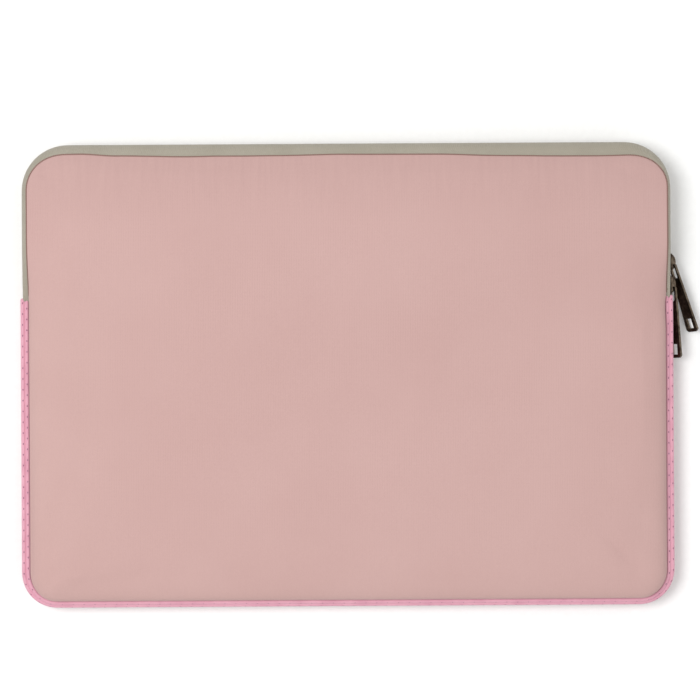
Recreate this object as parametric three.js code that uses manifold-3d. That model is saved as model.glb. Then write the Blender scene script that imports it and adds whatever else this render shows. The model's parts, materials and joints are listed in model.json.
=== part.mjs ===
// A padded laptop sleeve lying on its back panel, in millimetres.
// +X points to the side where the two zip sliders are parked, +Y to the zipped top edge,
// +Z out of the front panel. The origin is the middle of the back panel's outer face.
//
// The upper half of the rim is a reverse-coil zip in a tilted gusset, the lower half is a bound
// seam. The front panel folds at FOLD_Y, so everything in front of the zip above it is the flap.

import * as THREE from 'three';
import { mergeVertices } from 'three/addons/utils/BufferGeometryUtils.js';
import Module from 'manifold-3d';

const wasm = await Module();
wasm.setup();

// ---- driving dimensions ----

const WIDTH = 350; // over the edge binding
const HEIGHT = 248;
const THICKNESS = 24; // panels and pocket
const TOP_RADIUS = 25; // corners of the zip
const BOTTOM_RADIUS = 19; // corners of the binding
const CORNER_STEPS = 8;
const GAP = 0.3; // clearance between neighbouring pieces

const BINDING_TOP_Y = 42.1; // the binding ends and the zip begins here
const FOLD_Y = 67; // the front panel folds here when the zip is open

const SHELL = 1.2; // fabric thickness of the outer panels
const PADDING = 2.9; // foam
const LINING = 0.8;

const ZIP_STEP = 1.2; // the zip ridge lies this far inside the binding's outer edge
const ZIP_TILT = 25; // degrees that the zip's face looks down towards the back panel
const ZIP_CENTRE_IN = 2.4; // chain centre, inwards from the ridge
const ZIP_CENTRE_Z = 10.8;
const TAPE = 1.2; // tape thickness
const SLIT = 0.9; // half the gap that the slider's post runs in

const BINDING_WIDTH = 4.7;
const BINDING_LOW_Z = 9.8;
const BINDING_HIGH_Z = 14.2;

const SLIDER_LENGTH = 9.6;
const SLIDER_WIDTH = 8.4;
const LOWER_SLIDER_Y = 47.2; // slider centres
const UPPER_SLIDER_Y = 59.2;
const PULL_AXIS = 4.5; // the puller's bar, outwards from the chain centre
const PULL_DROP = 1.6; // and below the slider's centre
const PULL_LENGTH = 37.8;
const PULL_TWIST = 12; // degrees of slack twist about the puller's length
const UPPER_PULL_SWING = 20; // degrees that each puller hangs away from the sleeve's side
const LOWER_PULL_SWING = 3;

// ---- finishes ----

const PANEL_PINK = { color: 0xcfaaa5, roughness: 0.85, metalness: 0 };
const LINING_GREY = { color: 0x8f8a86, roughness: 0.95, metalness: 0 };
const FOAM_GREY = { color: 0xb9b4ae, roughness: 0.9, metalness: 0 };
const BINDING_PINK = { color: 0xe3a5b8, roughness: 0.6, metalness: 0 };
const TAPE_OLIVE = { color: 0xaea798, roughness: 0.8, metalness: 0 };
const COIL_OLIVE = { color: 0xa39c8b, roughness: 0.5, metalness: 0 };
const DARK_METAL = { color: 0x3a2a22, roughness: 0.35, metalness: 0.9 };

// ---- helpers ----

const radians = THREE.MathUtils.degToRad;
const sleeve = new THREE.Group();

/** A closed solid of a geometry, for joining and cutting. */
function solid(geometry) {
  const welded = mergeVertices(onlyPositions(geometry), 1e-4);
  const vertProperties = new Float32Array(welded.attributes.position.array);
  const triVerts = new Uint32Array(welded.index.array);
  return new wasm.Manifold(new wasm.Mesh({ numProp: 3, vertProperties, triVerts }));
}

function onlyPositions(geometry) {
  const bare = new THREE.BufferGeometry();
  bare.setAttribute('position', geometry.attributes.position.clone());
  if (geometry.index) {
    bare.setIndex(geometry.index.clone());
  }
  return bare;
}

/** The geometry of a joined or cut solid. */
function geometryOf(manifold) {
  const mesh = manifold.getMesh();
  const geometry = new THREE.BufferGeometry();
  geometry.setAttribute('position', new THREE.BufferAttribute(mesh.vertProperties, 3));
  geometry.setIndex(new THREE.BufferAttribute(mesh.triVerts, 1));
  geometry.computeVertexNormals();
  return geometry;
}

function add(name, geometry, finish, parent = sleeve) {
  const mesh = new THREE.Mesh(geometry, new THREE.MeshStandardMaterial(finish));
  mesh.name = name;
  parent.add(mesh);
  return mesh;
}

/** A box between two corners. */
function block(low, high) {
  const size = high.map((value, i) => value - low[i]);
  const geometry = new THREE.BoxGeometry(...size);
  return geometry.translate(...low.map((value, i) => value + size[i] / 2));
}

/** A rounded rectangle with its own top and bottom corner radii. */
function roundedPanel({ halfWidth, top, bottom, topRadius, bottomRadius }) {
  const shape = new THREE.Shape();
  const right = halfWidth;
  const quarter = Math.PI / 2;
  shape.moveTo(right, bottom + bottomRadius);
  shape.absarc(right - topRadius, top - topRadius, topRadius, 0, quarter);
  shape.absarc(-right + topRadius, top - topRadius, topRadius, quarter, 2 * quarter);
  shape.absarc(-right + bottomRadius, bottom + bottomRadius, bottomRadius, 2 * quarter, 3 * quarter);
  shape.absarc(right - bottomRadius, bottom + bottomRadius, bottomRadius, 3 * quarter, 4 * quarter);
  return shape;
}

/** A flat layer of the sleeve, inset from its outline, between two heights. */
function layer({ side, top, bottom = side, low, high }) {
  const shape = roundedPanel({
    halfWidth: WIDTH / 2 - side,
    top: HEIGHT / 2 - top,
    bottom: -HEIGHT / 2 + bottom,
    topRadius: Math.max(TOP_RADIUS - top, 4),
    bottomRadius: Math.max(BOTTOM_RADIUS - bottom, 4),
  });
  const geometry = new THREE.ExtrudeGeometry(shape, {
    depth: high - low,
    bevelEnabled: false,
    curveSegments: CORNER_STEPS,
  });
  return geometry.translate(0, 0, low);
}

/** The part of a solid on one side of a line across the sleeve. */
function above(manifold, y) {
  return manifold.intersect(solid(block([-WIDTH, y, -THICKNESS], [WIDTH, HEIGHT, 2 * THICKNESS])));
}

function below(manifold, y) {
  return manifold.intersect(solid(block([-WIDTH, -HEIGHT, -THICKNESS], [WIDTH, y, 2 * THICKNESS])));
}

/** A path round the rim, with one station per bend step, whose sections stand square to it. */
class RimPath extends THREE.Curve {
  constructor(stations) {
    super();
    this.stations = stations;
  }

  get steps() {
    return this.stations.length - 1;
  }

  getSpacedPoints() {
    return this.stations.map(({ x, y }) => new THREE.Vector3(x, y, 0));
  }

  computeFrenetFrames() {
    const up = new THREE.Vector3(0, 0, 1);
    const outward = this.stations.map(({ angle }) => new THREE.Vector3(Math.cos(angle), Math.sin(angle), 0));
    return {
      tangents: outward.map((out) => new THREE.Vector3().crossVectors(out, up)),
      normals: outward,
      binormals: outward.map(() => up.clone()),
    };
  }
}

/** Stations round one corner, from one outward angle to another, in degrees. */
function corner(x, y, radius, from, to) {
  const stations = [];
  for (let i = 0; i <= CORNER_STEPS; i += 1) {
    const angle = radians(from + ((to - from) * i) / CORNER_STEPS);
    stations.push({ x: x + radius * Math.cos(angle), y: y + radius * Math.sin(angle), angle });
  }
  return stations;
}

/** Up the left side, over the top and down the right side, along the zip's ridge. */
function zipPath(endY) {
  const ridgeX = WIDTH / 2 - ZIP_STEP;
  const centreX = ridgeX - TOP_RADIUS;
  const centreY = HEIGHT / 2 - TOP_RADIUS;
  return new RimPath([
    { x: -ridgeX, y: endY, angle: Math.PI },
    ...corner(-centreX, centreY, TOP_RADIUS, 180, 90),
    ...corner(centreX, centreY, TOP_RADIUS, 90, 0),
    { x: ridgeX, y: endY, angle: 0 },
  ]);
}

/** A straight stretch of the zip's ridge on one side (+1 right, -1 left). */
function zipSidePath(side, fromY, toY) {
  const x = side * (WIDTH / 2 - ZIP_STEP);
  const angle = side > 0 ? 0 : Math.PI;
  const ends = side > 0 ? [toY, fromY] : [fromY, toY];
  return new RimPath(ends.map((y) => ({ x, y, angle })));
}

/** One side of the zip with the corner above it. */
function zipCornerPath(side, endY) {
  const ridgeX = WIDTH / 2 - ZIP_STEP;
  const centreX = ridgeX - TOP_RADIUS;
  const centreY = HEIGHT / 2 - TOP_RADIUS;
  if (side > 0) {
    return new RimPath([...corner(centreX, centreY, TOP_RADIUS, 90, 0), { x: ridgeX, y: endY, angle: 0 }]);
  }
  return new RimPath([
    { x: -ridgeX, y: endY, angle: Math.PI },
    ...corner(-centreX, centreY, TOP_RADIUS, 180, 90),
  ]);
}

/** The zip's straight top edge, a gap short of both corners. */
function zipTopPath() {
  const x = WIDTH / 2 - ZIP_STEP - TOP_RADIUS - GAP;
  return new RimPath([-x, x].map((end) => ({ x: end, y: HEIGHT / 2, angle: Math.PI / 2 })));
}

/** Down the right side, along the bottom and up the left side, along the binding's outer edge. */
function bindingPath(endY) {
  const centreX = WIDTH / 2 - BOTTOM_RADIUS;
  const centreY = -HEIGHT / 2 + BOTTOM_RADIUS;
  return new RimPath([
    { x: WIDTH / 2, y: endY, angle: 0 },
    ...corner(centreX, centreY, BOTTOM_RADIUS, 0, -90),
    ...corner(-centreX, centreY, BOTTOM_RADIUS, -90, -180),
    { x: -WIDTH / 2, y: endY, angle: -Math.PI },
  ]);
}

/** A section of (outward, height) points carried along a rim path. */
function sweep(points, path) {
  const shape = new THREE.Shape(points.map(([out, z]) => new THREE.Vector2(out, z)));
  return new THREE.ExtrudeGeometry(shape, { steps: path.steps, extrudePath: path, bevelEnabled: false });
}

/** A point of the zip's cross-section: across the tape towards the front, and out of its face. */
function zipPoint(across, out) {
  const tilt = radians(ZIP_TILT);
  return [
    -ZIP_CENTRE_IN + across * Math.sin(tilt) + out * Math.cos(tilt),
    ZIP_CENTRE_Z + across * Math.cos(tilt) - out * Math.sin(tilt),
  ];
}

// ---- panels ----

const FRONT_SHELL_LOW = THICKNESS - SHELL;
const SIDE_INSET = 4; // upper panel edge, from the binding's outline
const TOP_INSET = 6;
const ROLL_DEPTH = 16; // the lower panel edge rolls down to the binding over this width
const SEAM_IN = BINDING_WIDTH + GAP;
const MIDDLE_Z = THICKNESS / 2;

/** The front panel's rolled lower edge: an elliptic quarter ending in the flange in the binding. */
function rollSection() {
  const flangeLow = MIDDLE_Z + GAP / 2;
  const flangeHigh = BINDING_HIGH_Z - 1.2;
  const startZ = BINDING_HIGH_Z + 0.2;
  const outer = rollCurve(ROLL_DEPTH - SEAM_IN, THICKNESS - startZ, startZ);
  const inner = rollCurve(ROLL_DEPTH - SEAM_IN - SHELL, THICKNESS - SHELL - startZ, startZ);
  return [
    [-SEAM_IN, flangeHigh],
    ...outer,
    ...inner.reverse(),
    [-SEAM_IN - SHELL, flangeLow],
    [-1.5, flangeLow],
    [-1.5, flangeHigh],
  ];
}

function rollCurve(reach, rise, startZ) {
  const points = [];
  for (let i = 0; i <= 4; i += 1) {
    const angle = (i * Math.PI) / 8;
    points.push([-ROLL_DEPTH + reach * Math.cos(angle), startZ + rise * Math.sin(angle)]);
  }
  return points;
}

/** One whole outer panel as it lies at the front: flat, with its lower edge rolled down. */
function frontPanel() {
  const middle = { side: ROLL_DEPTH - 1, top: TOP_INSET, low: FRONT_SHELL_LOW, high: THICKNESS };
  const upper = { side: SIDE_INSET, top: TOP_INSET, low: FRONT_SHELL_LOW, high: THICKNESS };
  return solid(layer(middle))
    .add(above(solid(layer(upper)), BINDING_TOP_Y + GAP))
    .add(solid(sweep(rollSection(), bindingPath(BINDING_TOP_Y))));
}

/** The same shape turned over, for the back. */
function turnedOver(manifold) {
  const mirrored = geometryOf(manifold);
  mirrored.rotateY(Math.PI);
  return mirrored.translate(0, 0, THICKNESS);
}

function buildShells() {
  const front = frontPanel();
  add('back_shell', turnedOver(front), PANEL_PINK);
  add('lower_front_shell', geometryOf(below(front, FOLD_Y - GAP / 2)), PANEL_PINK);
  add('upper_front_shell', geometryOf(above(front, FOLD_Y + GAP / 2)), PANEL_PINK);
}

function buildSplitLayer(name, outline, finish) {
  const whole = solid(layer(outline));
  add(`lower_front_${name}`, geometryOf(below(whole, FOLD_Y - GAP / 2)), finish);
  add(`upper_front_${name}`, geometryOf(above(whole, FOLD_Y + GAP / 2)), finish);
}

function buildPaddingAndLining() {
  const side = ROLL_DEPTH;
  const backPad = SHELL + GAP;
  const backLining = backPad + PADDING + GAP;
  const frontPad = FRONT_SHELL_LOW - 0.2 - PADDING;
  const frontLining = frontPad - GAP - LINING;
  add('back_padding', layer({ side, top: 12, low: backPad, high: backPad + PADDING }), FOAM_GREY);
  add('back_lining', layer({ side: 9, top: 9, low: backLining, high: backLining + LINING }), LINING_GREY);
  buildSplitLayer('padding', { side, top: 9, low: frontPad, high: frontPad + PADDING }, FOAM_GREY);
  buildSplitLayer('lining', { side: 9, top: 9, low: frontLining, high: frontLining + LINING }, LINING_GREY);
}

// ---- bound seam ----

/** A folded strip, open towards the sleeve, that holds both panels' flanges. */
function buildBinding() {
  const lip = 0.9;
  const web = 1.2;
  const section = [
    [-BINDING_WIDTH, BINDING_LOW_Z],
    [-0.5, BINDING_LOW_Z],
    [0, BINDING_LOW_Z + 0.8],
    [0, BINDING_HIGH_Z - 0.8],
    [-0.5, BINDING_HIGH_Z],
    [-BINDING_WIDTH, BINDING_HIGH_Z],
    [-BINDING_WIDTH, BINDING_HIGH_Z - lip],
    [-web, BINDING_HIGH_Z - lip],
    [-web, BINDING_LOW_Z + lip],
    [-BINDING_WIDTH, BINDING_LOW_Z + lip],
  ];
  add('edge_binding', sweep(section, bindingPath(BINDING_TOP_Y)), BINDING_PINK);
}

/** The flat tape that hides the same seam inside the pocket. */
function buildInnerSeamTape() {
  const outer = -SEAM_IN - SHELL - 0.4;
  const inner = outer - SHELL;
  const section = [
    [inner, MIDDLE_Z - 3.5],
    [outer, MIDDLE_Z - 3.5],
    [outer, MIDDLE_Z + 3.5],
    [inner, MIDDLE_Z + 3.5],
  ];
  add('inner_seam_tape', sweep(section, bindingPath(BINDING_TOP_Y)), LINING_GREY);
}

// ---- zip ----

const HALF_TAPE = TAPE / 2;
const RIDGE = 4.4; // across the tape, from the chain's centre to the ridge
const FLANGE_TOP_Z = FRONT_SHELL_LOW - 0.2;

/** Front tape: from the slit over the ridge to its flange under the front panel. */
function frontTapeSection() {
  return [
    zipPoint(SLIT, -HALF_TAPE),
    zipPoint(SLIT, HALF_TAPE),
    zipPoint(RIDGE, HALF_TAPE),
    [-0.6, 18.6],
    [-1.9, 21.4],
    [-3, FLANGE_TOP_Z],
    [-7.6, FLANGE_TOP_Z],
    [-7.6, FLANGE_TOP_Z - TAPE],
    [-3.6, FLANGE_TOP_Z - TAPE],
    [-1.9, 18.4],
    zipPoint(RIDGE - 0.2, -HALF_TAPE),
  ];
}

/** Back tape: from the slit down to its flange on the back panel. */
function backTapeSection() {
  const flangeLow = SHELL + 0.2;
  return [
    zipPoint(-SLIT, HALF_TAPE),
    zipPoint(-SLIT, -HALF_TAPE),
    zipPoint(-8.6, -HALF_TAPE),
    [-8, flangeLow + TAPE],
    [-10.6, flangeLow + TAPE],
    [-10.6, flangeLow],
    [-6.4, flangeLow],
    zipPoint(-8.6, HALF_TAPE),
  ];
}

/** One row of the coil, on the tape's inner face (+1 front, -1 back). */
function coilSection(side) {
  const near = side * (SLIT + 0.1);
  const far = side * (SLIT + 1.6);
  const face = -HALF_TAPE - GAP;
  const points = [
    zipPoint(near, face - 0.9),
    zipPoint(near, face - 0.3),
    zipPoint(near + side * 0.3, face),
    zipPoint(far, face),
    zipPoint(far, face - 0.9),
    zipPoint(far - side * 0.4, face - 1.2),
    zipPoint(near + side * 0.3, face - 1.2),
  ];
  return side > 0 ? points : points.reverse();
}

function buildZip() {
  const lowEnd = BINDING_TOP_Y + GAP;
  const foldBelow = FOLD_Y - GAP / 2;
  const foldAbove = FOLD_Y + GAP / 2;
  add('back_zip_tape_top', sweep(backTapeSection(), zipTopPath()), TAPE_OLIVE);
  add('back_zip_coil', sweep(coilSection(-1), zipPath(lowEnd)), COIL_OLIVE);
  for (const [label, side] of [['right', 1], ['left', -1]]) {
    const path = zipSidePath(side, lowEnd, foldBelow);
    add(`back_zip_tape_${label}`, sweep(backTapeSection(), zipCornerPath(side, lowEnd)), TAPE_OLIVE);
    add(`front_zip_tape_${label}`, sweep(frontTapeSection(), path), TAPE_OLIVE);
    add(`front_zip_coil_${label}`, sweep(coilSection(1), path), COIL_OLIVE);
  }
  add('flap_zip_tape', sweep(frontTapeSection(), zipPath(foldAbove)), TAPE_OLIVE);
  add('flap_zip_coil', sweep(coilSection(1), zipPath(foldAbove)), COIL_OLIVE);
}

// ---- sliders and pullers ----
// Slider frame: x out of the zip's face, y along the zip, z across it towards the front.

const OUTER_PLATE = [HALF_TAPE + GAP, 1.9];
const INNER_PLATE = [-3.4, -2.5];
const CROWN_HALF = 1; // half the crown's thickness across the zip
const CROWN_FOOT = OUTER_PLATE[1] + GAP;
const CROWN_TOP = 5.9;
const BAR_RADIUS = 0.4;

/** Extrudes a shape drawn in (y, z) of the slider frame between two x values. */
function facePlate(shape, [from, to]) {
  const geometry = new THREE.ExtrudeGeometry(shape, {
    depth: to - from,
    bevelEnabled: false,
    curveSegments: 5,
  });
  geometry.applyMatrix4(new THREE.Matrix4().makeBasis(
    new THREE.Vector3(0, 1, 0),
    new THREE.Vector3(0, 0, 1),
    new THREE.Vector3(1, 0, 0),
  ));
  return geometry.translate(from, 0, 0);
}

function sliderPlateShape() {
  const round = 2;
  return roundedPanel({
    halfWidth: SLIDER_LENGTH / 2,
    top: SLIDER_WIDTH / 2,
    bottom: -SLIDER_WIDTH / 2,
    topRadius: round,
    bottomRadius: round,
  });
}

/** Two plates joined by the post in the slit, with a lip on each side of the coils. */
function sliderBody() {
  const lipHalf = SLIDER_LENGTH / 2 - 2;
  const lipOuter = SLIDER_WIDTH / 2;
  let body = solid(facePlate(sliderPlateShape(), OUTER_PLATE))
    .add(solid(facePlate(sliderPlateShape(), INNER_PLATE)))
    .add(solid(block([INNER_PLATE[1] - 0.3, -2, -0.6], [OUTER_PLATE[0] + 0.3, 2, 0.6])));
  for (const side of [1, -1]) {
    const z = [side * lipOuter, side * (lipOuter - 0.7)].sort((a, b) => a - b);
    const lip = block([INNER_PLATE[1] - 0.3, -lipHalf, z[0]], [-HALF_TAPE - GAP, lipHalf, z[1]]);
    body = body.add(solid(lip));
  }
  return geometryOf(body);
}

/** The dome on the slider's outer plate, with an eye for the puller's bar near its lower end. */
function sliderCrown() {
  const shape = new THREE.Shape();
  shape.absellipse(0, 0, SLIDER_LENGTH / 2 - 0.2, CROWN_TOP - CROWN_FOOT, 0, Math.PI);
  const eye = new THREE.Path();
  eye.absarc(PULL_DROP, PULL_AXIS - CROWN_FOOT, BAR_RADIUS + 0.25, 0, 2 * Math.PI);
  shape.holes.push(eye);
  const geometry = new THREE.ExtrudeGeometry(shape, {
    depth: 2 * CROWN_HALF,
    bevelEnabled: false,
    curveSegments: 8,
  });
  geometry.translate(0, 0, -CROWN_HALF);
  geometry.rotateZ(-Math.PI / 2);
  return geometry.translate(CROWN_FOOT, 0, 0);
}

/** A flat tapered tab with a fork round the crown and a small window near its tip.
    Drawn with y along the tab, tip at -y, and x across it. */
function pullTab() {
  const thickness = 1.3;
  const topHalf = 2.3;
  const tipHalf = 4;
  const forkHalf = 1.45;
  const forkDepth = 7.5;
  const tip = -PULL_LENGTH;
  const round = 1.2;
  const shape = new THREE.Shape();
  shape.moveTo(-topHalf, 0.2);
  shape.lineTo(-tipHalf, tip + round);
  shape.lineTo(-tipHalf + round, tip);
  shape.lineTo(tipHalf - round, tip);
  shape.lineTo(tipHalf, tip + round);
  shape.lineTo(topHalf, 0.2);
  shape.lineTo(forkHalf, 0.2);
  shape.lineTo(forkHalf, -forkDepth + 0.8);
  shape.lineTo(forkHalf - 0.8, -forkDepth);
  shape.lineTo(-forkHalf + 0.8, -forkDepth);
  shape.lineTo(-forkHalf, -forkDepth + 0.8);
  shape.lineTo(-forkHalf, 0.2);
  shape.closePath();
  const window = new THREE.Path();
  const windowHalf = 1.8;
  const windowLow = tip + 1.8;
  const windowHigh = windowLow + 5.6;
  window.moveTo(-windowHalf, windowLow);
  window.lineTo(windowHalf, windowLow);
  window.lineTo(windowHalf, windowHigh);
  window.lineTo(-windowHalf, windowHigh);
  window.closePath();
  shape.holes.push(window);
  const plate = new THREE.ExtrudeGeometry(shape, { depth: thickness, bevelEnabled: false });
  plate.translate(0, 0, -thickness / 2);
  const bar = new THREE.CylinderGeometry(BAR_RADIUS, BAR_RADIUS, 2 * topHalf - 0.2, 10);
  bar.rotateZ(Math.PI / 2);
  return geometryOf(solid(plate).add(solid(bar)));
}

/** A slider with its crown and puller, its centre at a height up the right side. */
function buildSlider(prefix, y, swing) {
  const [out, z] = zipPoint(0, 0);
  const frame = new THREE.Group();
  frame.position.set(WIDTH / 2 - ZIP_STEP + out, y, z);
  frame.rotation.y = radians(ZIP_TILT);
  sleeve.add(frame);
  add(`${prefix}_slider_body`, sliderBody(), DARK_METAL, frame);
  add(`${prefix}_slider_crown`, sliderCrown(), DARK_METAL, frame);

  const hang = new THREE.Group(); // hinge line of the puller, swung away from the side
  hang.position.set(PULL_AXIS, -PULL_DROP, 0);
  hang.rotation.z = radians(swing);
  frame.add(hang);
  const tab = add(`${prefix}_puller`, pullTab(), DARK_METAL, hang);
  tab.rotation.y = -Math.PI / 2 + radians(PULL_TWIST); // its width lies across the zip
}

buildShells();
buildPaddingAndLining();
buildBinding();
buildInnerSeamTape();
buildZip();
buildSlider('lower', LOWER_SLIDER_Y, LOWER_PULL_SWING);
buildSlider('upper', UPPER_SLIDER_Y, UPPER_PULL_SWING);

export default sleeve;
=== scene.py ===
"""A padded laptop sleeve lying on its back panel, seen from straight above.

The soft goods (panels, linings, tapes, binding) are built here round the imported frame.
The sliders and pullers are the frame's own nodes with better edges and a metal finish.
Plan positions are in millimetres inside the builders and become metres in mesh_object().
"""

import json
import math

import bpy
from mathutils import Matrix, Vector, noise
from mathutils.geometry import delaunay_2d_cdt


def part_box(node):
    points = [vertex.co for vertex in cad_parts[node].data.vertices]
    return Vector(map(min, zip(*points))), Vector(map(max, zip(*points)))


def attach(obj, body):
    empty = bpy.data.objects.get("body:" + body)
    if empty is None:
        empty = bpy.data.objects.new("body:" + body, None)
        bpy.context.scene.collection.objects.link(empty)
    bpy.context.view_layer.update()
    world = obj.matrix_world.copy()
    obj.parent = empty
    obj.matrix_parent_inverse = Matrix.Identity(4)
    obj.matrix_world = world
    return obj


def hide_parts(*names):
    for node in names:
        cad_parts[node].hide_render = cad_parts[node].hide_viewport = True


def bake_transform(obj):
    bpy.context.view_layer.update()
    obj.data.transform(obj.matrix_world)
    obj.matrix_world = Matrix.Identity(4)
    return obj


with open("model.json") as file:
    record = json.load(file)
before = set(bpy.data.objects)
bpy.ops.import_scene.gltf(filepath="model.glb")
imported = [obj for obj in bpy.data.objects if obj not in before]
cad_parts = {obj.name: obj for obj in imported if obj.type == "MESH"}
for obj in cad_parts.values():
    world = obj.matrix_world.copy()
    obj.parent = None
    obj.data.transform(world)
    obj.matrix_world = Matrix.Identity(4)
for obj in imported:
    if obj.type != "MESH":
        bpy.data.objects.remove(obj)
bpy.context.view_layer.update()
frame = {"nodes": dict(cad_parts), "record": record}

MM = 0.001


def box_mm(node):
    """A node's lowest and highest corners, in millimetres."""
    low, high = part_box(node)
    return [v / MM for v in low], [v / MM for v in high]


# ---- sizes from the frame, in millimetres ----

BIND_LOW, BIND_HIGH = box_mm("edge_binding")
ZIP_HIGH = box_mm("flap_zip_tape")[1]
PANEL_LOW, PANEL_HIGH = box_mm("upper_front_shell")
LINING_LOW = box_mm("lower_front_lining")[0]
BACK_LINING_HIGH = box_mm("back_lining")[1]
FOAM_LOW, FOAM_HIGH = box_mm("lower_front_padding")
BACK_FOAM_LOW, BACK_FOAM_HIGH = box_mm("back_padding")
SEAM_TAPE_LOW, SEAM_TAPE_HIGH = box_mm("inner_seam_tape")

HALF_WIDTH = BIND_HIGH[0]
ZIP_HALF = ZIP_HIGH[0]
TOP_Y = ZIP_HIGH[1]
BOTTOM_Y = BIND_LOW[1]
BINDING_END_Y = BIND_HIGH[1]
THICKNESS = PANEL_HIGH[2]
MIDDLE_Z = (BIND_LOW[2] + BIND_HIGH[2]) / 2
BINDING_HALF = (BIND_HIGH[2] - BIND_LOW[2]) / 2
TOP_RADIUS = 25
BOTTOM_RADIUS = 19

HINGE = next(j for j in frame["record"]["behaviour"]["joints"] if j["name"] == "flap_fold")
FOLD_Y = HINGE["pos_m"][1] / MM
ZIP_TILT = math.radians(25)
CHAIN_IN = 2.4  # from the zip's outer edge in to its slit
CHAIN_Z = 10.8

ROLL = 16  # the panels roll down to their seams over this width
BINDING_WIDTH = 4.7
BINDING_ROLL = math.radians(46)  # how far the binding turns outwards along the bottom
STITCH_PITCH = 5.8
COIL_PITCH = 1.4
SHELL = 1.2
TAPE = 0.7
LINING = 0.7


# ---- plan of the rim ----


def smooth(value, low, high):
    t = min(max((value - low) / (high - low), 0), 1)
    return t * t * (3 - 2 * t)


def mix(a, b, share):
    return a + (b - a) * share


def straight(start, end, angle, step):
    """Stations along a straight edge, without its last point. angle is outward, in degrees."""
    count = max(1, round(math.dist(start, end) / step))
    return [
        (mix(start[0], end[0], i / count), mix(start[1], end[1], i / count), math.radians(angle))
        for i in range(count)
    ]


def corner(centre_x, centre_y, radius, start, end, step):
    """Stations round a corner, without its last point. Angles are outward, in degrees."""
    count = max(4, round(radius * math.radians(abs(end - start)) / step))
    stations = []
    for i in range(count):
        angle = math.radians(mix(start, end, i / count))
        out_x, out_y = radius * math.cos(angle), radius * math.sin(angle)
        stations.append((centre_x + out_x, centre_y + out_y, angle))
    return stations


def whole_rim(step=3.0):
    """Once round the sleeve, anticlockwise from the bottom left. The zip half is narrower."""
    bottom_x, bottom_y = HALF_WIDTH - BOTTOM_RADIUS, BOTTOM_Y + BOTTOM_RADIUS
    top_x, top_y = ZIP_HALF - TOP_RADIUS, TOP_Y - TOP_RADIUS
    stations = straight((-bottom_x, BOTTOM_Y), (bottom_x, BOTTOM_Y), -90, step)
    stations += corner(bottom_x, bottom_y, BOTTOM_RADIUS, -90, 0, step / 2)
    stations += straight((HALF_WIDTH, bottom_y), (HALF_WIDTH, top_y), 0, step)
    stations += corner(top_x, top_y, TOP_RADIUS, 0, 90, step / 2)
    stations += straight((top_x, TOP_Y), (-top_x, TOP_Y), 90, step)
    stations += corner(-top_x, top_y, TOP_RADIUS, 90, 180, step / 2)
    stations += straight((-HALF_WIDTH, top_y), (-HALF_WIDTH, bottom_y), 180, step)
    stations += corner(-bottom_x, bottom_y, BOTTOM_RADIUS, 180, 270, step / 2)
    narrower = HALF_WIDTH - ZIP_HALF
    return [
        (x - math.copysign(narrower * smooth(y, 36, 46), x) if abs(x) > ZIP_HALF else x, y, angle)
        for x, y, angle in stations
    ]


def zip_rim(step, end_y=BINDING_END_Y):
    """Up the right side, over the top and down the left side."""
    x, y = ZIP_HALF - TOP_RADIUS, TOP_Y - TOP_RADIUS
    stations = straight((ZIP_HALF, end_y), (ZIP_HALF, y), 0, step)
    stations += corner(x, y, TOP_RADIUS, 0, 90, step)
    stations += straight((x, TOP_Y), (-x, TOP_Y), 90, step)
    stations += corner(-x, y, TOP_RADIUS, 90, 180, step)
    stations += straight((-ZIP_HALF, y), (-ZIP_HALF, end_y), 180, step)
    return stations + [(-ZIP_HALF, end_y, math.pi)]


def binding_rim(step, inset=0):
    """Down the left side, along the bottom and up the right side."""
    radius = BOTTOM_RADIUS - inset
    x, y = HALF_WIDTH - BOTTOM_RADIUS, BOTTOM_Y + BOTTOM_RADIUS
    side, low = HALF_WIDTH - inset, BOTTOM_Y + inset
    stations = straight((-side, BINDING_END_Y), (-side, y), 180, step)
    stations += corner(-x, y, radius, 180, 270, step)
    stations += straight((-x, low), (x, low), 270, step)
    stations += corner(x, y, radius, 270, 360, step)
    stations += straight((side, y), (side, BINDING_END_Y), 0, step)
    return stations + [(side, BINDING_END_Y, 0)]


def place(station, out, z):
    """The 3-D point that stands out from a station at a height."""
    x, y, angle = station
    return Vector((x + out * math.cos(angle), y + out * math.sin(angle), z))


def zip_point(across, out):
    """A point of the zip's section: across the tape towards the front, and out of its face."""
    return (
        -CHAIN_IN + across * math.sin(ZIP_TILT) + out * math.cos(ZIP_TILT),
        CHAIN_Z + across * math.cos(ZIP_TILT) - out * math.sin(ZIP_TILT),
    )


# ---- mesh builders ----


def mesh_object(name, points, faces, material):
    """A smooth-shaded object from millimetre points, with its finish."""
    mesh = bpy.data.meshes.new(name)
    mesh.from_pydata([p * MM for p in points], [], faces)
    mesh.validate()
    mesh.polygons.foreach_set("use_smooth", [True] * len(mesh.polygons))
    mesh.materials.append(material)
    obj = bpy.data.objects.new(name, mesh)
    bpy.context.scene.collection.objects.link(obj)
    return obj


def subdivided(obj):
    """The object itself, with one live subdivision."""
    modifier = obj.modifiers.new("smooth", "SUBSURF")
    modifier.levels = modifier.render_levels = 1
    return obj


def loft(stations, section):
    """A closed section carried along open stations, capped at both ends: points and faces."""
    points = []
    for station in stations:
        points += [place(station, out, z) for out, z in section(station)]
    width = len(points) // len(stations)
    faces = []
    for i in range(len(stations) - 1):
        for k in range(width):
            a, b = i * width + k, i * width + (k + 1) % width
            faces.append((a, b, b + width, a + width))
    faces.append(tuple(range(width - 1, -1, -1)))
    faces.append(tuple(range(len(points) - width, len(points))))
    return points, faces


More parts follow.
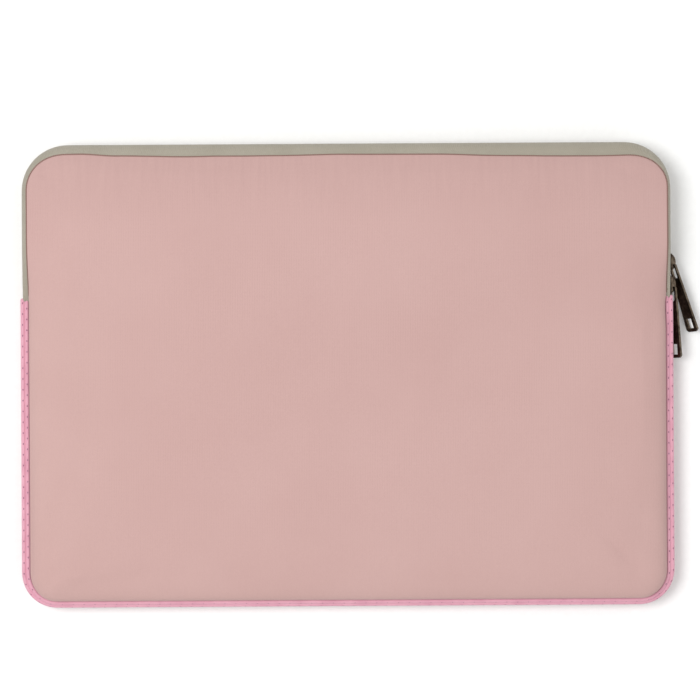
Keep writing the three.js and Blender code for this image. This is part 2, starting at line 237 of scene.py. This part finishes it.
def strip(line, thickness):
    """The closed section of a strip of cloth that follows a line of (out, z) points."""
    outer, inner = [], []
    for i, (out, z) in enumerate(line):
        ahead, behind = line[min(i + 1, len(line) - 1)], line[max(i - 1, 0)]
        run, rise = ahead[0] - behind[0], ahead[1] - behind[1]
        length = math.hypot(run, rise)
        side_out, side_z = rise / length * thickness / 2, -run / length * thickness / 2
        outer.append((out + side_out, z + side_z))
        inner.append((out - side_out, z - side_z))
    return outer + inner[::-1]


def filled_plan(ring, spacing):
    """Interior points on a grid inside a ring, and triangles over ring and grid."""
    xs, ys = [p.x for p in ring], [p.y for p in ring]
    inner = []
    rows = int((max(ys) - min(ys)) / spacing)
    columns = int((max(xs) - min(xs)) / spacing)
    inset = spacing * 0.7
    for r in range(1, rows):
        for c in range(1, columns):
            x = min(xs) + (max(xs) - min(xs)) * c / columns
            y = min(ys) + (max(ys) - min(ys)) * r / rows
            if inside_ring(x, y, ring, inset):
                inner.append(Vector((x, y)))
    flat = [Vector((p.x, p.y)) for p in ring] + inner
    result = delaunay_2d_cdt(flat, [], [list(range(len(ring)))], 1, 1e-5)
    origin = [ids[0] for ids in result[3]]
    triangles = [tuple(origin[i] for i in face) for face in result[2]]
    return inner, triangles


def inside_ring(x, y, ring, inset):
    """Is a point inside the ring, at least inset away from its points?"""
    hits = False
    previous = ring[-1]
    for p in ring:
        if (p.y > y) != (previous.y > y):
            if x < (previous.x - p.x) * (y - p.y) / (previous.y - p.y) + p.x:
                hits = not hits
        previous = p
    return hits and min((p.x - x) ** 2 + (p.y - y) ** 2 for p in ring) > inset * inset


def layered_solid(stations, top, bottom, top_z, bottom_z, spacing):
    """A closed soft layer. top and bottom give each station's (out, z) rings from its edge inwards,
    and top_z and bottom_z the heights of the filled middle."""
    count = len(stations)
    tops = [top(s) for s in stations]
    bottoms = [bottom(s) for s in stations]
    rings = len(tops[0])
    inner_ring = [place(s, *rows[-1]) for s, rows in zip(stations, tops)]
    inner, triangles = filled_plan(inner_ring, spacing)

    def surface(rows, height):
        found = [place(s, *row[k]) for k in range(rings) for s, row in zip(stations, rows)]
        return found + [Vector((p.x, p.y, height(p.x, p.y))) for p in inner]

    points = surface(tops, top_z)
    half = len(points)
    points += surface(bottoms, bottom_z)
    last = (rings - 1) * count
    faces = []
    for base, turned in ((0, False), (half, True)):
        for k in range(rings - 1):
            for i in range(count):
                j = (i + 1) % count
                near, far = k * count, (k + 1) * count
                quad = (near + i, near + j, far + j, far + i)
                faces.append(tuple(base + v for v in (quad[::-1] if turned else quad)))
        for triangle in triangles:
            face = tuple(base + last + v for v in triangle)
            faces.append(face[::-1] if turned else face)
    for i in range(count):
        j = (i + 1) % count
        faces.append((i, half + i, half + j, j))
    return points, faces


# ---- materials ----


def srgb(*values):
    """A linear colour from sRGB values out of 255."""
    linear = [
        v / 255 / 12.92 if v <= 10 else ((v / 255 + 0.055) / 1.055) ** 2.4 for v in values
    ]
    return (*linear, 1)


class Nodes:
    """A small helper that adds and links shader nodes."""

    def __init__(self, name, roughness, metallic=0.0, sheen=0.0, specular=0.5):
        self.material = bpy.data.materials.new(name)
        self.material.use_nodes = True
        self.tree = self.material.node_tree
        self.shader = self.tree.nodes["Principled BSDF"]
        self.shader.inputs["Roughness"].default_value = roughness
        self.shader.inputs["Metallic"].default_value = metallic
        self.shader.inputs["Sheen Weight"].default_value = sheen
        self.shader.inputs["Sheen Roughness"].default_value = 0.5
        self.shader.inputs["Specular IOR Level"].default_value = specular
        texture = self.tree.nodes.new("ShaderNodeTexCoord").outputs
        self.coordinates = texture["Object"]
        self.normals = texture["Normal"]

    def add(self, kind, inputs=None, **settings):
        node = self.tree.nodes.new(kind)
        for key, value in settings.items():
            setattr(node, key, value)
        for key, value in (inputs or {}).items():
            self.give(node, key, value)
        return node

    def give(self, node, key, value):
        """Link a socket to a node's input, or set it to a plain value."""
        if isinstance(value, bpy.types.NodeSocket):
            self.tree.links.new(value, node.inputs[key])
        else:
            node.inputs[key].default_value = value

    def scaled(self, x, y, z):
        """The object's coordinates, stretched."""
        inputs = {"Vector": self.coordinates, "Scale": (x, y, z)}
        return self.add("ShaderNodeMapping", inputs).outputs[0]

    def noise(self, scale, vector=None, detail=3.0, roughness=0.55):
        inputs = {"Vector": vector or self.coordinates, "Scale": scale, "Detail": detail}
        return self.add("ShaderNodeTexNoise", {**inputs, "Roughness": roughness}).outputs["Fac"]

    def wave(self, period_m, direction, distortion=0.0):
        per_unit = math.pi / (10 if direction != "DIAGONAL" else 5) / period_m
        inputs = {"Vector": self.coordinates, "Scale": per_unit, "Distortion": distortion}
        settings = {"wave_type": "BANDS", "bands_direction": direction}
        return self.add("ShaderNodeTexWave", {**inputs, "Detail": 1.0}, **settings).outputs["Fac"]

    def math(self, operation, a, b):
        return self.add("ShaderNodeMath", {0: a, 1: b}, operation=operation).outputs[0]

    def ramp(self, factor, low, high, start=0.3, end=0.7):
        node = self.add("ShaderNodeValToRGB", {"Fac": factor})
        first, last = node.color_ramp.elements
        first.color, last.color = low, high
        first.position, last.position = start, end
        return node.outputs["Color"]

    def mixed(self, factor, a, b):
        node = self.tree.nodes.new("ShaderNodeMix")
        node.data_type = "RGBA"
        for index, value in ((0, factor), (6, a), (7, b)):
            self.give(node, index, value)
        return node.outputs[2]

    def colour(self, socket):
        self.tree.links.new(socket, self.shader.inputs["Base Color"])

    def roughness(self, factor, low, high):
        """Roughness that varies with a factor between low and high."""
        inputs = {"Value": factor, "To Min": low, "To Max": high}
        spread = self.add("ShaderNodeMapRange", inputs).outputs[0]
        self.tree.links.new(spread, self.shader.inputs["Roughness"])

    def bump(self, height, distance_m, strength=1.0):
        inputs = {"Height": height, "Distance": distance_m, "Strength": strength}
        normal = self.add("ShaderNodeBump", inputs).outputs[0]
        self.tree.links.new(normal, self.shader.inputs["Normal"])


def panel_fabric():
    """Fine dusty-pink jersey over thin foam: small knit ribs, and faint streaks near the top, in a
    darker colour that also paints shade along the top edge.
    """
    n = Nodes("panel_fabric", roughness=0.82, sheen=0.1, specular=0.2)
    patches = n.noise(14, detail=4)
    base = n.ramp(patches, srgb(195, 159, 154), srgb(200, 165, 160))
    height = n.add("ShaderNodeSeparateXYZ", {"Vector": n.coordinates}).outputs["Y"]
    # painted shade: towards the top edge the colour blends into the darker streak colour
    upper = n.add("ShaderNodeMapRange", {
        "Value": height, "From Min": 0.08, "From Max": 0.115, "To Min": 0.04, "To Max": 0.5,
    }).outputs[0]
    streaks = n.noise(1, n.scaled(520, 34, 34), detail=2)
    base = n.mixed(upper, base, n.ramp(streaks, srgb(180, 146, 142), srgb(189, 155, 150)))
    fibres = n.noise(2600, detail=2)
    base = n.mixed(0.16, base, n.ramp(fibres, srgb(180, 145, 141), srgb(213, 180, 175)))
    n.colour(base)
    n.roughness(patches, 0.76, 0.88)
    ribs = n.math("MULTIPLY", n.wave(0.0009, "X", 1.0), n.wave(0.0007, "Y", 1.0))
    n.bump(n.math("ADD", ribs, n.math("MULTIPLY", fibres, 0.6)), 0.00012, 0.6)
    return n.material


def lining_fabric():
    """Short warm-grey plush."""
    n = Nodes("lining_fabric", roughness=0.95, sheen=0.5, specular=0.15)
    tufts = n.noise(900, detail=5, roughness=0.7)
    brushed = n.noise(1, n.scaled(60, 18, 60), detail=3)
    base = n.ramp(tufts, srgb(112, 106, 102), srgb(158, 152, 147), 0.25, 0.75)
    n.colour(n.mixed(0.3, base, n.ramp(brushed, srgb(120, 114, 110), srgb(160, 154, 149))))
    n.bump(tufts, 0.0006, 0.8)
    return n.material


def foam():
    """Closed-cell foam."""
    n = Nodes("foam", roughness=0.9, specular=0.2)
    inputs = {"Vector": n.coordinates, "Scale": 1100}
    cells = n.add("ShaderNodeTexVoronoi", inputs).outputs["Distance"]
    n.colour(n.ramp(cells, srgb(150, 146, 140), srgb(196, 192, 186), 0.1, 0.7))
    n.bump(cells, 0.0003, 0.8)
    return n.material


def binding_fabric():
    """Smooth pink binding ribbon with fine cross ribs."""
    n = Nodes("binding_tape", roughness=0.5, sheen=0.15, specular=0.45)
    ribs = n.wave(0.0008, "DIAGONAL", 0.6)
    patches = n.noise(120, detail=3)
    base = n.ramp(patches, srgb(214, 152, 171), srgb(226, 168, 185))
    n.colour(n.mixed(0.15, base, n.ramp(ribs, srgb(202, 140, 158), srgb(232, 178, 192))))
    n.bump(ribs, 0.00012, 0.5)
    return n.material


def stitch_thread():
    """Mauve sewing thread, twisted."""
    n = Nodes("stitch_thread", roughness=0.6, sheen=0.1)
    twist = n.wave(0.0004, "DIAGONAL", 0.4)
    n.colour(n.ramp(twist, srgb(128, 70, 96), srgb(160, 100, 126)))
    n.bump(twist, 0.0001, 0.5)
    return n.material


def painted_seam_shadow():
    """Painted shadow: a dark brown-pink thread colour for the strip that stands in for the shade in
    the seam between the front panel and the tape.
    """
    n = Nodes("painted_seam_shadow", roughness=0.85)
    twist = n.wave(0.0012, "DIAGONAL", 1.2)
    n.colour(n.ramp(twist, srgb(118, 88, 80), srgb(156, 124, 114)))
    n.bump(twist, 0.0001, 0.6)
    return n.material


def zip_tape():
    """Woven olive-grey tape: diagonal ribs broken by fine threads."""
    n = Nodes("zip_tape", roughness=0.78, sheen=0.1, specular=0.3)
    twill = n.wave(0.0011, "DIAGONAL", 0.8)
    threads = n.noise(1900, detail=2)
    patches = n.noise(35, detail=3)
    base = n.ramp(patches, srgb(158, 151, 136), srgb(170, 163, 149))
    base = n.mixed(0.25, base, n.ramp(twill, srgb(146, 139, 124), srgb(178, 172, 158)))
    n.colour(n.mixed(0.25, base, n.ramp(threads, srgb(138, 131, 116), srgb(184, 178, 165))))
    n.bump(n.math("ADD", twill, n.math("MULTIPLY", threads, 0.5)), 0.00018, 0.7)
    return n.material


def nylon_coil():
    """Smooth nylon filament, slightly scuffed on top."""
    n = Nodes("zip_coil", roughness=0.35, specular=0.5)
    wear = n.noise(220, detail=4)
    n.colour(n.ramp(wear, srgb(150, 144, 126), srgb(182, 176, 160)))
    n.roughness(wear, 0.28, 0.5)
    n.bump(wear, 0.00005, 0.5)
    return n.material


def dark_metal():
    """Dark brown plating, rubbed through to brighter metal in patches. The narrow sides, turned up
    towards the light and down, are painted lighter: partly wear, partly painted highlight.
    """
    n = Nodes("dark_metal", roughness=0.3, metallic=0.95)
    rubbed = n.noise(260, detail=5, roughness=0.65)
    scratches = n.noise(1, n.scaled(3000, 240, 3000), detail=2)
    base = n.ramp(rubbed, srgb(54, 40, 33), srgb(126, 110, 94), 0.46, 0.8)
    base = n.mixed(0.2, base, n.ramp(scratches, srgb(32, 22, 17), srgb(130, 114, 98)))
    # painted highlight and wear: faces turned up or down across the zip get the lighter colour, in
    # rubbed patches
    across = (math.sin(ZIP_TILT), 0, math.cos(ZIP_TILT))
    facing = n.add("ShaderNodeVectorMath", {0: n.normals, 1: across}, operation="DOT_PRODUCT")
    sides = n.math("ABSOLUTE", facing.outputs["Value"], 0)
    sides = n.math("MULTIPLY", sides, n.math("ADD", rubbed, 0.35))
    wear_and_highlight = n.ramp(sides, (0, 0, 0, 1), (1, 1, 1, 1), 0.68, 0.95)
    n.colour(n.mixed(wear_and_highlight, base, srgb(138, 123, 106)))
    n.roughness(rubbed, 0.22, 0.42)
    n.bump(n.math("ADD", rubbed, scratches), 0.00003, 0.5)
    return n.material


def worn_metal():
    """The brighter metal that shows where the plating has rubbed off the edges."""
    n = Nodes("worn_metal", roughness=0.28, metallic=0.95)
    rubbed = n.noise(700, detail=4, roughness=0.65)
    n.colour(n.ramp(rubbed, srgb(86, 72, 60), srgb(196, 182, 162)))
    n.bump(rubbed, 0.00002, 0.5)
    return n.material


def floor_paper():
    """Plain near-white paper."""
    n = Nodes("floor_paper", roughness=0.9, specular=0.1)
    grain = n.noise(300, detail=3)
    n.colour(n.ramp(grain, srgb(250, 250, 249), srgb(253, 253, 252)))
    n.bump(grain, 0.00005, 0.3)
    return n.material


# ---- where the panels end ----


def zip_share(y):
    """0 below the binding's end, where the panels meet in the bound seam, 1 up in the gusset."""
    return smooth(y, 38, 72)


def seam_height(y):
    """Height of the front panel's edge: just over the binding, or at the top of the gusset."""
    return mix(MIDDLE_Z + BINDING_HALF + 0.2, PANEL_LOW[2] - 0.5, zip_share(y))


def rolled_share(station):
    """How far the binding is rolled outwards: not on the left, more on the right and most below."""
    angle = station[2]
    return 0.42 * max(math.cos(angle), 0) ** 2 + max(-math.sin(angle), 0) ** 2


def seam_dip(x):
    """How much further in the top seam lies at x: the tape shows wider on the right."""
    right = 1.25 * smooth(x, 45, 92) * (1 - 0.7 * smooth(x, 130, 160))
    left = 0.5 * math.exp(-((x + 54) / 14) ** 2) - 1.5 * (1 - smooth(x, -142, -122))
    return 0.3 + right + left


def front_edge(station):
    """How far in the front panel's edge lies: it covers more of the zip tape at the sides."""
    x, y, angle = station
    side = -3.8 if x < 0 else -2.8
    waves = 0.7 * noise.noise(Vector((x / 34, 5.7, 0)))
    upper = mix(side, -6.9 + waves - seam_dip(x), max(math.sin(angle), 0) ** 2)
    foot = mix(BINDING_WIDTH + 0.2, BINDING_WIDTH - 0.6, rolled_share(station))
    return mix(-foot, upper, smooth(y, 37, 43))


def back_edge(station):
    """The same for the back panel."""
    return mix(-(BINDING_WIDTH + 0.2), -6.4, smooth(station[1], 37, 43))


def bulge(station):
    """How far the puffed panel leans out over the binding."""
    x, y, angle = station
    side = 0.4 if x < 0 else 1.7
    low = max(-math.sin(angle), 0) ** 2
    return mix(side, 3.0, low) * (1 - smooth(y, 22, 42))


def front_height(x, y):
    """The front panel's top: a slight crown with a few shallow, soft undulations."""
    crown = (1 - (x / HALF_WIDTH) ** 4) * (1 - (y / TOP_Y) ** 4)
    ripple = noise.noise(Vector((x / 70, y / 90, 3.1)))
    return THICKNESS + 0.9 * crown + 0.25 * ripple * crown


def roll_profile(edge, seam_z, height, lean, thin):
    """Rings (out, z) from a panel's edge over its roll to the flat, or thin inside that face."""
    rings = []
    reach = ROLL + edge - thin
    top = height - thin
    steps = 9
    for i in range(steps + 1):
        angle = i / steps * math.pi / 2
        out = -ROLL + reach * math.cos(angle) + lean * math.sin(2 * angle)
        rings.append((out, seam_z + (top - seam_z) * math.sin(angle)))
    return rings + [(-ROLL - 1.2, top)]


def front_rings(thin):
    """The rings of the front panel's outer face, or of a face that lies thin inside it."""
    def rings(station):
        near = place(station, -ROLL, 0)
        height = front_height(near.x, near.y)
        seam_z = seam_height(station[1])
        rows = roll_profile(front_edge(station), seam_z, height, bulge(station), thin)
        last = place(station, rows[-1][0], 0)
        return rows[:-1] + [(rows[-1][0], front_height(last.x, last.y) - thin)]
    return rings


def back_rings(thin):
    """The same for the back panel, which is the front's profile turned over and kept flat."""
    def rings(station):
        lean = bulge(station) * 0.5
        seam_z = seam_height(station[1])
        rows = roll_profile(back_edge(station), seam_z, THICKNESS, lean, thin)
        return [(out, THICKNESS - z) for out, z in rows]
    return rings


# ---- soft pieces ----


def with_cloth(points, faces, pinned, most):
    """A layered solid's points after its top sheet is inflated as cloth, with the sheet's first
    points held still. Both sheets move together, and no point moves more than most."""
    half = len(points) // 2
    mesh = bpy.data.meshes.new("sheet")
    mesh.from_pydata([p * MM for p in points[:half]], [], [f for f in faces if max(f) < half])
    sheet = bpy.data.objects.new("sheet", mesh)
    scene = bpy.context.scene
    scene.collection.objects.link(sheet)
    sheet.vertex_groups.new(name="held").add(list(range(pinned)), 1.0, "REPLACE")
    cloth = sheet.modifiers.new("cloth", "CLOTH")
    cloth.settings.quality = 5
    cloth.settings.mass = 0.002
    cloth.settings.bending_stiffness = 0.05
    cloth.settings.vertex_group_mass = "held"
    cloth.settings.use_pressure = True
    cloth.settings.uniform_pressure_force = 4
    cloth.settings.effector_weights.gravity = 0
    cloth.point_cache.frame_end = 20
    for frame_number in range(1, 21):
        scene.frame_set(frame_number)
    settled = sheet.evaluated_get(bpy.context.evaluated_depsgraph_get()).data.vertices
    moves = [vertex.co / MM - point for point, vertex in zip(points, settled)]
    moves = [move * min(1, most / max(move.length, 1e-9)) for move in moves]
    scene.frame_set(1)
    bpy.data.objects.remove(sheet)
    return [point + move for point, move in zip(points, moves + moves)]


def bent_at_the_fold(obj):
    """The piece's transform is baked into its mesh."""
    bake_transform(obj)


def build_panels(material):
    rim = whole_rim()
    points, faces = layered_solid(
        rim, front_rings(0), front_rings(SHELL),
        front_height, lambda x, y: front_height(x, y) - SHELL, spacing=5,
    )
    points = with_cloth(points, faces, pinned=len(rim) * 2, most=1.1)
    front = mesh_object("front_panel", points, faces, material)
    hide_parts("lower_front_shell", "upper_front_shell")
    bent_at_the_fold(subdivided(front))

    points, faces = layered_solid(
        rim, back_rings(SHELL), back_rings(0),
        lambda x, y: SHELL, lambda x, y: 0.0, spacing=8,
    )
    back = mesh_object("back_panel", points, faces, material)
    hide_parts("back_shell")
    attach(subdivided(back), "sleeve")


def build_foam(material):
    """Two sheets of foam with softened edges. Along the top they reach further out."""
    def rings(middle, face_z):
        def rows(station):
            inset = ROLL - 0.6 - 4 * max(math.sin(station[2]), 0) ** 2
            return [(-inset, mix(middle, face_z, 0.4)), (-inset - 0.5, mix(middle, face_z, 0.8)),
                    (-inset - 1.4, face_z), (-inset - 2.2, face_z)]
        return rows

    def pinch(y):
        """The foam is squeezed thinner where the front folds."""
        return 0.7 * (1 - smooth(abs(y - FOLD_Y - 4), 10, 20))

    front_nodes = ("lower_front_padding", "upper_front_padding")
    for name, low, high, squeeze, spacing, nodes in (
        ("front_foam", FOAM_LOW[2], FOAM_HIGH[2] - 0.2, 1, 3.5, front_nodes),
        ("back_foam", BACK_FOAM_LOW[2], BACK_FOAM_HIGH[2], 0, 9, ("back_padding",)),
    ):
        middle = (low + high) / 2
        points, faces = layered_solid(
            whole_rim(3.5), rings(middle, high), rings(middle, low),
            lambda x, y, z=high, k=squeeze: z - k * pinch(y),
            lambda x, y, z=low, k=2 * squeeze: z + k * pinch(y),
            spacing,
        )
        piece = mesh_object(name, points, faces, material)
        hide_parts(*nodes)
        if name == "front_foam":
            bent_at_the_fold(piece)
        else:
            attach(piece, "sleeve")


def build_linings(material):
    """Thin plush layers that face the pocket and turn outwards to the tapes at their edges."""
    def rings(face_z, edge_z, above):
        def rows(station):
            share = smooth(station[1], 42, 62)
            top_share = max(math.sin(station[2]), 0) ** 2
            edge = mix(-9.4, mix(-7.4, -10.4, top_share), share)
            lift = mix(0.35, 1, share)
            return [
                (edge, mix(face_z, edge_z, lift) + above * 0.3),
                (edge - 1.1, mix(face_z, edge_z, lift * 0.55) + above),
                (edge - 2.8, mix(face_z, edge_z, lift * 0.15) + above),
                (edge - 5, face_z + above),
                (edge - 9, face_z + above),
            ]
        return rows

    front_z, back_z = LINING_LOW[2], BACK_LINING_HIGH[2]
    turn_out = 2.0
    front_edge_z, back_edge_z = front_z + turn_out, back_z - turn_out
    points, faces = layered_solid(
        whole_rim(4), rings(front_z, front_edge_z, LINING), rings(front_z, front_edge_z, 0),
        lambda x, y: front_z + LINING, lambda x, y: front_z, spacing=5,
    )
    front = mesh_object("front_lining", points, faces, material)
    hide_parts("lower_front_lining", "upper_front_lining")
    bent_at_the_fold(subdivided(front))

    points, faces = layered_solid(
        whole_rim(4), rings(back_z, back_edge_z, 0), rings(back_z, back_edge_z, -LINING),
        lambda x, y: back_z, lambda x, y: back_z - LINING, spacing=7,
    )
    back = mesh_object("pocket_back_lining", points, faces, material)
    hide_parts("back_lining")
    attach(subdivided(back), "sleeve")


def front_tape_line(station):
    """From the slit over the ridge and up to the front panel, then a flange under it."""
    edge, seam_z = front_edge(station), seam_height(station[1])
    ridge = zip_point(4.2, 0)
    line = [zip_point(0.5, 0), zip_point(1.6, 0), zip_point(3.2, 0)]
    for i in range(6):
        angle = i / 5 * math.pi / 2
        out = mix(ridge[0], edge, 1 - math.cos(angle))
        line.append((out, mix(ridge[1], seam_z - 0.35, math.sin(angle))))
    return line + [(edge - 1.6, seam_z - 0.6), (edge - 4.6, seam_z - 1.0)]


def back_tape_line(station):
    """From the slit straight down to the back panel, then a flange on it."""
    edge, seam_z = back_edge(station), THICKNESS - seam_height(station[1])
    line = [zip_point(-0.5, 0), zip_point(-1.6, 0), zip_point(-3.2, 0)]
    start = line[-1]
    for share in (0.35, 0.7, 1):
        line.append((mix(start[0], edge + 0.3, share), mix(start[1], seam_z + 0.3, share)))
    return line + [(edge - 1.6, seam_z + 0.6), (edge - 4.2, seam_z + 0.9)]


def build_tapes(material):
    """The two halves of the zip tape, whose ends are sewn into the binding."""
    sewn_in = 2.5
    rim = zip_rim(3, BINDING_END_Y - sewn_in)
    front_nodes = ("front_zip_tape_right", "front_zip_tape_left", "flap_zip_tape")
    back_nodes = ("back_zip_tape_top", "back_zip_tape_right", "back_zip_tape_left")
    for name, line, nodes in (
        ("front_tape", front_tape_line, front_nodes),
        ("back_tape", back_tape_line, back_nodes),
    ):
        points, faces = loft(rim, lambda s, line=line: strip(line(s), TAPE))
        tape = mesh_object(name, points, faces, material)
        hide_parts(*nodes)
        subdivided(tape)
        if name == "front_tape":
            bent_at_the_fold(tape)
        else:
            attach(tape, "sleeve")


def build_painted_seam_shadow(material):
    """A dark thread-like strip where the front panel meets the zip tape: painted shadow in place of
    the shade in the seam's gap.
    """
    def section(station):
        out, z = front_edge(station) + 0.15, seam_height(station[1]) + 0.05
        turns = [k / 8 * 2 * math.pi for k in range(8)]
        return [(out + 0.34 * math.cos(turn), z - 0.34 * math.sin(turn)) for turn in turns]

    points, faces = loft(zip_rim(3, BINDING_END_Y + 1), section)
    bent_at_the_fold(mesh_object("seam_shadow_strip", points, faces, material))


def build_coils(material):
    """Two rows of nylon coil on the inner faces of the tapes, swelling once for each turn."""
    rim = zip_rim(COIL_PITCH / 4)

    def section(side, swell):
        height, reach = 0.55 + 0.35 * swell, 1.35 + 0.25 * swell
        points = [(side * 0.25, -1.0), (side * 0.25, -1.0 - height), (side * 0.7, -1.25 - height),
                  (side * reach, -1.2 - height), (side * (reach + 0.5), -1.0 - height * 0.5),
                  (side * (reach + 0.4), -0.7), (side * 0.7, -0.6)]
        return [zip_point(across, out) for across, out in points]

    swell = {s: 0.5 + 0.5 * math.cos(math.pi / 2 * i) for i, s in enumerate(rim)}
    for name, side, nodes in (
        ("front_coil", 1, ("front_zip_coil_right", "front_zip_coil_left", "flap_zip_coil")),
        ("back_coil", -1, ("back_zip_coil",)),
    ):
        points, faces = loft(rim, lambda s, side=side: section(side, swell[s]))
        coil = mesh_object(name, points, faces, material)
        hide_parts(*nodes)
        if name == "front_coil":
            bent_at_the_fold(coil)
        else:
            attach(coil, "sleeve")


# ---- bound seam ----

RIDGE_ROWS = (-1.35, -3.6)  # the two stitched ridges, inwards from the binding's outer edge


def binding_half(y):
    """Half the binding's thickness. It swells at its two ends, where it takes in the zip's ends."""
    return seam_height(y) - 0.2 - MIDDLE_Z


def turned(station, out, z):
    """A point of the binding's section, turned with the part of the rim it sits on."""
    turn = BINDING_ROLL * rolled_share(station) * (1 - 0.5 * smooth(station[1], 25, 42))
    run = out + 2.4
    return (
        -2.5 + run * math.cos(turn) + z * math.sin(turn),
        MIDDLE_Z - run * math.sin(turn) + z * math.cos(turn),
    )


def binding_section(station):
    """Two soft ridges with a groove between them, the same on both faces."""
    half = binding_half(station[1])
    front = [(0.0, half - 1.3), (-0.15, half - 0.55), (-0.6, half), (-1.35, half + 0.22),
             (-2.0, half + 0.1), (-2.3, half - 0.45), (-2.6, half - 0.45), (-2.9, half + 0.1),
             (-3.6, half + 0.25), (-4.3, half + 0.05), (-4.9, half - 0.6)]
    back = [(out, -z) for out, z in reversed(front)]
    return [turned(station, out, z) for out, z in front + back]


def build_binding(material):
    points, faces = loft(binding_rim(2), binding_section)
    binding = mesh_object("seam_binding", points, faces, material)
    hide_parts("edge_binding")
    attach(subdivided(binding), "sleeve")


def capsule(centre, along, side, up, length, width, height):
    """A small stitch: an elongated rounded bead, as points and faces."""
    around, rows = 8, 5
    points = []
    for r in range(rows):
        angle = math.pi * (r + 0.5) / rows
        for a in range(around):
            turn = 2 * math.pi * a / around
            points.append(
                centre - along * (length / 2 * math.cos(angle))
                + side * (width / 2 * math.sin(angle) * math.cos(turn))
                + up * (height / 2 * math.sin(angle) * math.sin(turn))
            )
    faces = []
    for r in range(rows - 1):
        for a in range(around):
            b = (a + 1) % around
            low, high = r * around, (r + 1) * around
            faces.append((low + a, low + b, high + b, high + a))
    faces.append(tuple(range(around - 1, -1, -1)))
    faces.append(tuple(range((rows - 1) * around, rows * around)))
    return points, faces


def build_stitches(material):
    """Two staggered rows on the binding's front ridges, and the same on its back."""
    lift = 0.16  # of a stitch's middle above the ribbon
    points, faces = [], []
    for row, inward in enumerate(RIDGE_ROWS):
        walk = binding_rim(STITCH_PITCH / 8, -inward)
        for i in range(4 + 4 * row, len(walk) - 3, 8):
            x, y, angle = walk[i]
            outward = Vector((math.cos(angle), math.sin(angle), 0))
            along = Vector((0, 0, 1)).cross(outward)
            rim = (x - outward.x * inward, y - outward.y * inward, angle)
            sunk = max(-math.sin(angle), 0) ** 2  # the bottom's stitches sink into the ribbon
            size = (1.0 - 0.4 * sunk, 0.6 - 0.25 * sunk, 0.4 - 0.15 * sunk)
            for face in (1, -1):
                height = binding_half(y) + lift
                centre = place(rim, *turned(rim, inward, face * height))
                up = place(rim, *turned(rim, inward, face * (height + 1))) - centre
                stitch, shape = capsule(centre, along, up.cross(along), up, *size)
                base = len(points)
                points += stitch
                faces += [tuple(base + v for v in f) for f in shape]
    stitches = mesh_object("binding_stitches", points, faces, material)
    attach(stitches, "sleeve")


def build_inner_seam_tape(material):
    """The tape inside the pocket that covers the bound seam, slightly hollow across its width."""
    outer = SEAM_TAPE_HIGH[0] - HALF_WIDTH
    low, high = SEAM_TAPE_LOW[2], SEAM_TAPE_HIGH[2]
    line = []
    for k in range(7):
        hollow = 0.35 * math.cos(math.pi * (k / 6 - 0.5))
        line.append((outer - 0.35 - hollow, mix(low, high, k / 6)))
    section = strip(line, TAPE)

    points, faces = loft(binding_rim(3), lambda station: section)
    tape = mesh_object("pocket_seam_tape", points, faces, material)
    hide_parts("inner_seam_tape")
    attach(subdivided(tape), "sleeve")


# ---- metal ----


def finish_metal(material, edge_material):
    """The frame's sliders and pullers, with softened, rubbed edges."""
    for prefix in ("lower", "upper"):
        for part in ("slider_body", "slider_crown", "puller"):
            obj = frame["nodes"][f"{prefix}_{part}"]
            obj.data.materials.clear()
            obj.data.materials.append(material)
            obj.data.materials.append(edge_material)
            modifier = obj.modifiers.new("soft_edges", "BEVEL")
            modifier.material = 1  # the rubbed edges
            modifier.width = 0.00026
            modifier.segments = 2
            modifier.limit_method = "ANGLE"
            modifier.angle_limit = math.radians(35)


# ---- stage ----


def build_stage():
    """A wide sheet of paper, a hair below the sleeve."""
    half, z = 3000, -0.05
    corners = ((-half, -half), (half, -half), (half, half), (-half, half))
    points = [Vector((x, y, z)) for x, y in corners]
    mesh = bpy.data.meshes.new("floor")
    mesh.from_pydata([p * MM for p in points], [], [(0, 1, 2, 3)])
    mesh.materials.append(floor_paper())
    floor = bpy.data.objects.new("floor", mesh)
    bpy.context.scene.collection.objects.link(floor)


def area_light(name, position, size, power):
    """A round soft light aimed at the middle of the sleeve."""
    data = bpy.data.lights.new(name, "AREA")
    data.shape = "DISK"
    data.size = size
    data.energy = power
    light = bpy.data.objects.new(name, data)
    light.location = position
    light.rotation_euler = (-Vector(position)).to_track_quat("-Z", "Y").to_euler()
    bpy.context.scene.collection.objects.link(light)


def light_scene():
    area_light("key", (-0.55, 0.1, 1.35), size=0.7, power=11.5)
    area_light("fill", (0.8, -0.2, 1.2), size=1.2, power=2.6)
    world = bpy.data.worlds.new("studio")
    world.use_nodes = True
    background = world.node_tree.nodes["Background"].inputs
    background["Color"].default_value = (1, 1, 1, 1)
    background["Strength"].default_value = 0.61
    bpy.context.scene.world = world
    bpy.context.scene.view_settings.view_transform = "Standard"


def place_camera():
    """Straight above, a little beyond the middle of the sleeve, with a long lens."""
    data = bpy.data.cameras.new("camera")
    data.lens = 120
    data.sensor_width = 36
    width_seen = 0.3756  # metres across the view, at the height of the sleeve's rim
    distance = width_seen * data.lens / data.sensor_width
    camera = bpy.data.objects.new("camera", data)
    camera.location = (0.0017, 0.0131, MIDDLE_Z * MM + distance)
    camera.rotation_euler = (0, 0, math.radians(-0.34))
    bpy.context.scene.collection.objects.link(camera)
    bpy.context.scene.camera = camera


# ---- the whole scene ----

plush = lining_fabric()
build_panels(panel_fabric())
build_foam(foam())
build_linings(plush)
build_inner_seam_tape(plush)
build_tapes(zip_tape())
build_painted_seam_shadow(painted_seam_shadow())
build_coils(nylon_coil())
build_binding(binding_fabric())
build_stitches(stitch_thread())
finish_metal(dark_metal(), worn_metal())
build_stage()
light_scene()
place_camera()
